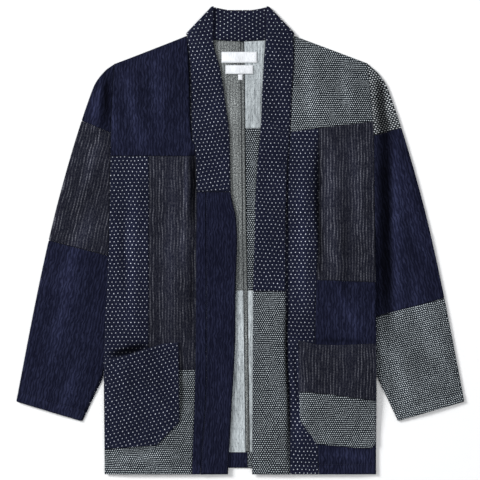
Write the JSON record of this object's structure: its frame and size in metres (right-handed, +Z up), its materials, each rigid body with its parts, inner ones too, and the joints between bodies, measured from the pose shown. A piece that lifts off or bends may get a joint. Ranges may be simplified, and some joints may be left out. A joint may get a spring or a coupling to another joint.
{
  "type": "haori",
  "caption": "Open-front patchwork haori jacket of navy sashiko cottons with a shawl band collar and patch pockets, laid flat front up.",
  "frame": {"origin": "centre of the garment's outline, on the surface that it lies on", "axes": "+X to the wearer's left (the viewer's right), +Y from the hem to the collar, +Z up out of the front"},
  "size_m": [0.806, 0.8424, 0.0165],
  "materials": {
    "navy_sashiko": "matte crinkled sashiko cotton",
    "dotted_navy": "matte cotton with rows of pale stitches",
    "striped_navy": "matte cotton with thin broken stripes",
    "fine_check": "matte cotton in a fine woven check",
    "grey_reverse": "matte reverse of the striped cloth",
    "pale_reverse": "matte pale reverse of the dotted cloth",
    "blank_label": "smooth woven label, blank"
  },
  "bodies": {
    "root": {"back_L_lower": "pale_reverse", "back_L_middle": "fine_check", "back_L_upper": "pale_reverse", "back_R_lower": "pale_reverse", "back_R_upper": "grey_reverse", "back_centre_seam": "grey_reverse", "back_hem_L": "fine_check", "back_hem_R": "navy_sashiko", "collar_L_check": "fine_check", "collar_L_dots": "dotted_navy", "collar_R_dots": "dotted_navy", "collar_R_navy": "navy_sashiko", "collar_back": "dotted_navy", "front_L_dots": "dotted_navy", "front_L_navy": "navy_sashiko", "front_L_shoulder_check": "fine_check", "front_L_stripes": "striped_navy", "front_R_dots": "dotted_navy", "front_R_edge_navy": "navy_sashiko", "front_R_hem_check": "fine_check", "front_R_shoulder_navy": "navy_sashiko", "front_R_stripes": "striped_navy", "label_main": "blank_label", "label_second": "blank_label", "label_size": "blank_label", "pocket_L_check": "fine_check", "pocket_L_stripes": "striped_navy", "pocket_R_dots": "dotted_navy", "sleeve_L_cuff_check": "fine_check", "sleeve_L_navy": "navy_sashiko", "sleeve_L_top_check": "fine_check", "sleeve_R_cuff_dots": "dotted_navy", "sleeve_R_cuff_navy": "navy_sashiko", "sleeve_R_stripes": "striped_navy", "sleeve_R_top_navy": "navy_sashiko"}
  },
  "joints": []
}
